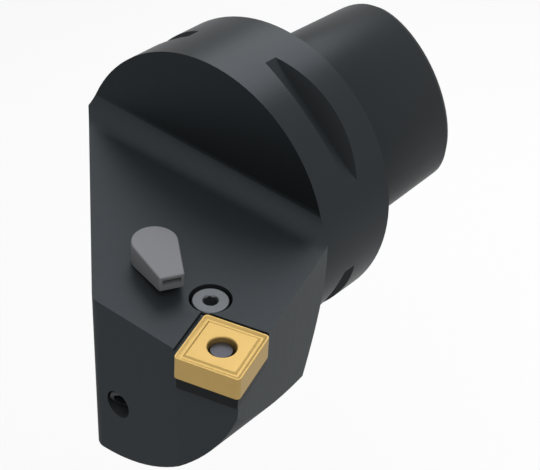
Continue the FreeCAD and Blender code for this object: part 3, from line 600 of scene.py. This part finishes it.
def makeLeverScrew():
    sizes = leverScrew
    head, edge, top = sizes["head"] / 2, sizes["edge"], -sizes["headHeight"]
    pitch, root = sizes["pitch"], sizes["thread"] / 2 - sizes["pitch"] * threadForm["depth"]
    neck, foot = sizes["neck"] / 2, sizes["foot"] / 2
    grooveTop, grooveLow = -sizes["grooveTop"], -sizes["grooveLow"]
    end = grooveLow - sizes["footHeight"]
    profile = [(foot - edge, end), (foot, end + edge), (foot, grooveLow), (neck, grooveLow),
               (neck, grooveTop), (root, grooveTop), (root, top - edge),
               (root + edge, top), (head - edge, top), (head, top + edge)]
    steps = sizes["edgeSteps"]
    turns = [math.radians(step * 90 / steps) for step in range(steps + 1)]
    profile += [(head - edge * (1 - math.cos(turn)), -edge * (1 - math.sin(turn))) for turn in turns]
    piece = turnUp("lever_screw_piece", profile)
    windings = int((sizes["grooveTop"] - sizes["headHeight"]) / pitch) - 1
    start = grooveTop + pitch * threadForm["start"]
    combine(piece, threadRidge(root - threadForm["sink"], pitch, start, windings), "UNION")
    combine(piece, hexagonTool(sizes["socket"], -sizes["socketDepth"], high=1), "DIFFERENCE")
    mouth = sizes["socket"] / math.sqrt(3) + sizes["socketMouth"]
    cone = [(mouth * out, mouth * height) for out, height in mouthCone]
    combine(piece, turnUp("mouth_tool", cone), "DIFFERENCE")
    settle(piece, screwPlace)
    smooth(piece)
    finishPiece(piece, "lever_screw", "lever_screw", "screw_steel")


# set screws: the nozzle's lock screw with its point, and the plug of the coolant channel

lockScrew = {"node": "nozzle_lock_screw", "thread": 4.0, "pitch": 0.7, "length": 5.0, "edge": 0.3,
             "point": 2.0, "pointLength": 0.84, "socket": 2.0, "socketDepth": 2.5, "reach": 8.58}
channelPlug = {"node": "channel_plug", "thread": 5.0, "pitch": 0.8, "length": 5.0, "edge": 0.3,
               "point": 3.2, "pointLength": 0.0, "socket": 2.5, "socketDepth": 2.5}
setScrewForm = {"straight": 0.8, "mouth": 1.6}   # shares of the point's length and of the edge


def makeSetScrew(sizes, name, top, way):   # top is the middle of its outer end, and way points outwards
    radius, pitch = sizes["thread"] / 2, sizes["pitch"]
    root = radius - pitch * threadForm["depth"]
    low, edge = -sizes["length"], sizes["edge"]
    point, straight = sizes["point"] / 2, sizes["pointLength"] * setScrewForm["straight"]
    profile = [(point - edge / 2, low - sizes["pointLength"]), (point, low - straight),
               (point, low), (root - edge, low), (root, low + edge), (root, -edge * 2),
               (radius - edge, -edge), (radius - edge * setScrewForm["mouth"], 0)]
    piece = turnUp(name, profile, sides=72)
    windings = int((sizes["length"] - edge * 2) / pitch) - 1
    start = low + pitch * threadForm["start"]
    combine(piece, threadRidge(root - threadForm["sink"], pitch, start, windings), "UNION")
    combine(piece, hexagonTool(sizes["socket"], -sizes["socketDepth"], high=1), "DIFFERENCE")
    settle(piece, Matrix.Translation(top) @ way.to_track_quat("Z", "X").to_matrix().to_4x4())
    smooth(piece)
    # the set screws take the nearly black steel, whose colour is painted shade in their holes
    finishPiece(piece, sizes["node"], "holder", "dark_screw_steel")


# coolant nozzle: sintered, a teardrop on a turned stem, with a flat outlet under its lip

nozzleSizes = {
    "radius": 4.35, "height": 4.9, "gap": 0.1, "beakReach": 10.4, "beakWidth": 4.7,
    "beakRise": 1.7, "edge": 0.28, "slotHeight": 1.2, "slotWidth": 3.5, "lip": 0.7,
    "slotDepth": 1.6, "slotEdge": 0.15, "jet": 0.9, "stem": 7.0, "stemLength": 13.0, "stemTop": 0.6,
    "bore": 3.2, "boreTop": 3.2, "coneTip": 0.1, "coneRise": 0.5, "sealPlace": 3.8, "sealGroove": 1.04,
    "sealDepth": 0.9, "lockPlace": waySizes["lockPlace"], "lockGroove": 2.4, "lockDepth": 0.8}


def makeNozzle():
    sizes = nozzleSizes
    radius, reach, width = sizes["radius"], sizes["beakReach"], sizes["beakWidth"]
    gap, height, edge = sizes["gap"], sizes["height"], sizes["edge"]
    piece = turnUp("coolant_nozzle_piece", [(radius, gap), (radius, height)])
    # the beak's sides run from the tip's corners to where they touch the round end
    tangent = math.atan(width / 2 / reach) + math.acos(radius / math.hypot(reach, width / 2))
    across, start = radius * math.sin(tangent), radius * math.cos(tangent)
    beak = makeBlock((start, -across, gap), (reach, across, height))
    openMesh(beak)
    pickFaces(beak, lambda middle, normal: normal.x > facing)
    bpy.ops.transform.resize(value=(1, width / 2 / across, 1), center_override=(reach, 0, height / 2))
    closeMesh()
    combine(piece, beak, "UNION")
    slant = math.atan((sizes["beakRise"] - gap) / reach)
    under = makeBlock((0, -radius * 2, -height), (reach * 2, radius * 2, 0))
    freeze(under, Matrix.Translation((0, 0, gap)) @ Matrix.Rotation(-slant, 4, "Y"))
    combine(piece, under, "DIFFERENCE")
    cleanMesh(piece, nearness=0.01, bend=0.3)
    roundEdges(piece, edge, segments=3, angle=25)
    slotTop = height - sizes["lip"]
    slot = makeBlock((reach - sizes["slotDepth"], -sizes["slotWidth"] / 2, slotTop - sizes["slotHeight"]),
                     (reach * 2, sizes["slotWidth"] / 2, slotTop))
    roundEdges(slot, sizes["slotEdge"])
    combine(piece, slot, "DIFFERENCE")
    # the stem, with a groove for the lock screw's point and one for the seal
    stem, low = sizes["stem"] / 2, -sizes["stemLength"]
    profile = [(stem - edge * 2, low), (stem, low + edge * 2)]
    for place, groove, deep in ((sizes["lockPlace"], sizes["lockGroove"], sizes["lockDepth"]),
                                (sizes["sealPlace"], sizes["sealGroove"], sizes["sealDepth"])):
        below, above = -place - groove / 2, -place + groove / 2
        profile += [(stem, below), (stem - deep, below), (stem - deep, above), (stem, above)]
    profile.append((stem, sizes["stemTop"]))
    combine(piece, turnUp("stem_tool", profile), "UNION")
    # the bore up the stem ends in a drill's cone, and the jet leads from it to the slot
    bore, top = sizes["bore"] / 2, sizes["boreTop"]
    profile = [(bore + edge, low - edge), (bore, low + edge), (bore, top),
               (bore * sizes["coneTip"], top + bore * sizes["coneRise"])]
    combine(piece, turnUp("bore_tool", profile, sides=48), "DIFFERENCE")
    jetEnd = reach - sizes["slotDepth"] / 2
    jet = turnUp("jet_tool", [(sizes["jet"] / 2, 0), (sizes["jet"] / 2, jetEnd)], sides=24)
    freeze(jet, Matrix.Translation((0, 0, slotTop - sizes["slotHeight"] / 2)) @ Matrix.Rotation(
        math.radians(90), 4, "Y"))
    combine(piece, jet, "DIFFERENCE")
    settle(piece, nozzlePlace)
    smooth(piece)
    finishPiece(piece, "coolant_nozzle", "coolant_nozzle", "sintered_steel")


# holder: one forging, turned and milled all over, its edges sharp; the drawbar's thread is cut here

holderSizes = {
    "edge": 0.22, "thread": 20.0, "core": 17.8, "pitch": 2.0, "threadStart": -8, "threadLength": 22,
    "threadSides": 72, "ridgeSink": 0.03, "firstTurn": 0.8, "wall": 22.5, "flange": 63.0, "head": 61.0,
    "headShift": 14.1, "flatArea": 90.0, "gripper": 11.7, "gripperWidth": 9.0, "gripperDepth": 4.0,
    "boreReach": 17.0, "boreEnd": 30.0, "pocketStep": 1.25, "pocketStepDepth": 0.7, "pocketTop": 1.0,
    "spareAlong": 1.0, "spareAround": 0.5}
# the place, way out and radius of each hole in the head
holes = [(screwPlace.translation, up, 4.0), (nozzlePlace.translation, up, 3.54),
         (plugPlace, plugWay, 2.54), (lockPlace, lockWay, 2.04)]
# how near a face lies, in millimetres, and how it is tilted where howCut and inHole tell it by its place
cutLimits = {
    "holeMargin": 0.03, "holeFacing": 0.5, "shankEnd": -0.01, "gripperSlope": 0.05, "underRim": 0.02,
    "wallSlope": 0.98, "wallNear": 0.1, "sideTilt": 0.15, "sideFacing": 0.9, "rimNear": 0.05,
    "rimSlope": 0.2, "flangeMargin": 0.2}


def inHole(middle, normal):   # whether a face looks at the axis of a hole that it lies round
    for place, way, radius in holes:
        out = middle - place / mm
        out -= way * out.dot(way)
        near = out.length < radius + cutLimits["holeMargin"]
        if near and out.dot(normal) < -cutLimits["holeFacing"] * out.length:
            return True
    return False


def howCut(middle, normal):   # which tool left a face of the holder
    sizes, limits = holderSizes, cutLimits
    rim, wall = sizes["flange"] / 2, sizes["wall"]
    reach = math.hypot(middle.y, middle.z)
    inwards = normal.y * middle.y + normal.z * middle.z < 0
    # the holes, the bore and the gripper groove below get the nearly black tone, which is painted shade
    if (inwards and reach < sizes["boreReach"] and middle.x < sizes["boreEnd"]) or inHole(middle, normal):
        return "bored_painted_shade"
    # the shank gets the darker ground tone, which is painted shade
    if middle.x < limits["shankEnd"]:
        return "ground"
    alongGroove = abs(middle.x - sizes["gripper"]) < sizes["gripperWidth"] / 2
    underRim = rim - sizes["gripperDepth"] < reach < rim - limits["underRim"]
    if alongGroove and underRim and abs(normal.x) > limits["gripperSlope"]:
        return "bored_painted_shade"
    # the wall gets a darker tone, which is painted shade
    if abs(normal.x) > limits["wallSlope"] and abs(middle.x - wall) < limits["wallNear"]:
        return "faced_painted_shade"
    # the side face gets a paler tone, which is painted light
    if middle.x > wall and abs(normal.z) < limits["sideTilt"] and normal.y > limits["sideFacing"]:
        return "profiled_painted_light"
    onRim = abs(reach - rim) < limits["rimNear"] and abs(normal.x) < limits["rimSlope"]
    return "turned" if middle.x < wall - limits["flangeMargin"] or onRim else "milled"


def makeHolder():
    sizes = holderSizes
    piece = copyOfNode("holder_body", "holder_piece")
    windings = int(sizes["threadLength"] / sizes["pitch"]) - 1
    root = sizes["core"] / 2 - sizes["ridgeSink"]
    ridge = threadRidge(root, sizes["pitch"], 0, windings, sizes["threadSides"])
    start = sizes["threadStart"] + sizes["pitch"] * sizes["firstTurn"]
    freeze(ridge, Matrix.Translation((start, 0, 0)) @ Matrix.Rotation(math.radians(90), 4, "Y"))
    combine(piece, ridge, "DIFFERENCE")
    # a shallow step behind the insert, where the pocket's two walls are cut back from its edges
    half, step, top = insertSizes["width"] / 2, sizes["pocketStep"], -seatSizes["flatDrop"]
    for low, high in (((-half - step, -half - step), (-half + step, half)),
                      ((-half - step, -half - step), (half, -half + step))):
        tool = makeBlock(low + (top - sizes["pocketStepDepth"],), high + (sizes["pocketTop"],))
        freeze(tool, Matrix.Scale(1 / mm, 4) @ squarePlace @ Matrix.Scale(mm, 4))
        combine(piece, tool, "DIFFERENCE")
    # the thread's edges get no bevel
    start, end = sizes["threadStart"], sizes["threadStart"] + sizes["threadLength"]
    spareReach, spareAlong = sizes["thread"] / 2 + sizes["spareAround"], sizes["spareAlong"]
    breakEdges(piece, sizes["edge"], lambda middle: math.hypot(middle.y, middle.z) < spareReach
               and start - spareAlong < middle.x < end + spareAlong)
    trueNormals(piece, ((sizes["flange"] / 2, 0), (sizes["head"] / 2, sizes["headShift"])), sizes["flatArea"])
    settle(piece, Matrix.Identity(4))
    finishPiece(piece, "holder_body", "holder", "blackened_steel")
    for oxide in oxides[1:]:
        piece.data.materials.append(oxide)
    for face in piece.data.polygons:
        face.material_index = oxideStates.index(howCut(face.center / mm, face.normal))


# lever and sleeve: merged copies with rounded edges, though the clamp leaves the lever's nearly sharp

bevelledCopies = {
    "clamp_lever": {"body": "clamp_lever", "slot": "hardened_steel", "edge": 0.4},
    "shim_sleeve": {"body": "holder", "slot": "spring_steel", "edge": 0.12}}


def makeBevelledCopy(node):
    look = bevelledCopies[node]
    piece = copyOfNode(node, node + "_piece")
    roundEdges(piece, look["edge"], angle=35)
    settle(piece, Matrix.Identity(4))
    smooth(piece)
    finishPiece(piece, node, look["body"], look["slot"])


makeInsert()
makeShim()
makeLeverScrew()
makeSetScrew(lockScrew, "nozzle_lock_screw_piece", lockPlace + lockWay * lockScrew["reach"] * mm, lockWay)
makeSetScrew(channelPlug, "channel_plug_piece", plugPlace + plugWay * channelPlug["length"] / 2 * mm, plugWay)
makeNozzle()
makeHolder()
for node in bevelledCopies:
    makeBevelledCopy(node)
print("pieces ready")


# studio: pale floor, soft lamps, camera at the photograph's angle

studio = {"floorDrop": 200 * mm, "floorSize": 6.0, "floorColour": "#f4f4f4", "floorRoughness": 0.9,
          "floorGlow": 0.6, "worldLight": 0.5, "aim": (0.03, 0.01, 0)}
lamps = {
    "key_lamp": {"size": 0.7, "watts": 4.5, "distance": 0.9, "azimuth": -157, "elevation": 46},
    "fill_lamp": {"size": 0.8, "watts": 4.8, "distance": 1.0, "azimuth": 50, "elevation": 45}}


def seenAsWhite(tree):   # 1 on the rays by which the camera sees the backdrop, directly or in metal and glass
    path = addNode(tree, "ShaderNodeLightPath")
    seen = addNode(tree, "ShaderNodeMath", {"operation": "MAXIMUM"}, {
        0: path.outputs["Is Camera Ray"], 1: path.outputs["Is Glossy Ray"]})
    return addNode(tree, "ShaderNodeMath", {"operation": "MAXIMUM"}, {
        0: seen.outputs[0], 1: path.outputs["Is Transmission Ray"]})


def makeWhiteGround(name, colour):   # to the camera it is nearly white, with a soft shadow left in it
    material, tree, shader = newMaterial(name)
    shader.inputs["Base Color"].default_value = hexToLinear(colour)
    shader.inputs["Roughness"].default_value = studio["floorRoughness"]
    shader.inputs["Specular IOR Level"].default_value = 0.0
    share = addNode(tree, "ShaderNodeMath", {"operation": "MULTIPLY"}, {
        0: seenAsWhite(tree).outputs[0], 1: studio["floorGlow"]})
    white = addNode(tree, "ShaderNodeEmission", None, {"Color": (1, 1, 1, 1), "Strength": 1.0})
    both = addNode(tree, "ShaderNodeMixShader", None, {
        0: share.outputs[0], 1: shader.outputs[0], 2: white.outputs[0]})
    output = next(node for node in tree.nodes if node.type == "OUTPUT_MATERIAL")
    tree.links.new(both.outputs[0], output.inputs["Surface"])
    return material


def makeFloor():
    low = cadBox[0][2] - studio["floorDrop"]
    bpy.ops.object.select_all(action="DESELECT")
    bpy.ops.mesh.primitive_plane_add(size=studio["floorSize"], location=(0, 0, low))
    floor = bpy.context.object
    floor.name = "studio_floor"
    dress(floor, makeWhiteGround("pale_floor", studio["floorColour"]))


def makeWorld():
    world = bpy.data.worlds.new("studio")
    bpy.context.scene.world = world
    world.use_nodes = True
    tree = world.node_tree
    tree.nodes.clear()
    level = addNode(tree, "ShaderNodeMapRange", None, {
        0: seenAsWhite(tree).outputs[0], 3: studio["worldLight"], 4: 1.0})
    sky = addNode(tree, "ShaderNodeBackground", None, {"Color": (1, 1, 1, 1), "Strength": level.outputs[0]})
    addNode(tree, "ShaderNodeOutputWorld", None, {"Surface": sky.outputs[0]})


def makeLamp(name):   # a round soft lamp that looks at the aim from its azimuth and elevation
    look = lamps[name]
    azimuth, elevation = math.radians(look["azimuth"]), math.radians(look["elevation"])
    flat = math.cos(elevation)
    way = Vector((flat * math.cos(azimuth), flat * math.sin(azimuth), math.sin(elevation)))
    bpy.ops.object.light_add(type="AREA", location=Vector(studio["aim"]) + way * look["distance"])
    lamp = bpy.context.object
    lamp.name = name
    lamp.data.shape = "DISK"
    lamp.data.size = look["size"]
    lamp.data.energy = look["watts"]
    lamp.rotation_euler = way.to_track_quat("Z", "Y").to_euler()


# The camera was solved from the insert's edges, the flange's rim and the shank in the photograph.
photoCamera = {"place": (0.2325, 0.1876, 0.16429), "forward": (-0.6635, -0.5349, -0.5230),
               "lens": 107.79, "sensor": 36, "roll": -0.14, "nearest": 0.01}


def makeCamera():
    forward = Vector(photoCamera["forward"])
    bpy.ops.object.camera_add(location=photoCamera["place"])
    camera = bpy.context.object
    camera.name = "photo_camera"
    turn = forward.to_track_quat("-Z", "Y").to_matrix() @ Matrix.Rotation(
        math.radians(photoCamera["roll"]), 3, "Z")
    camera.rotation_euler = turn.to_euler()
    camera.data.lens = photoCamera["lens"]
    camera.data.sensor_width = photoCamera["sensor"]
    camera.data.clip_start = photoCamera["nearest"]
    bpy.context.scene.camera = camera


makeFloor()
makeWorld()
for name in lamps:
    makeLamp(name)
makeCamera()
bpy.context.scene.view_settings.view_transform = "Standard"
print("studio ready")
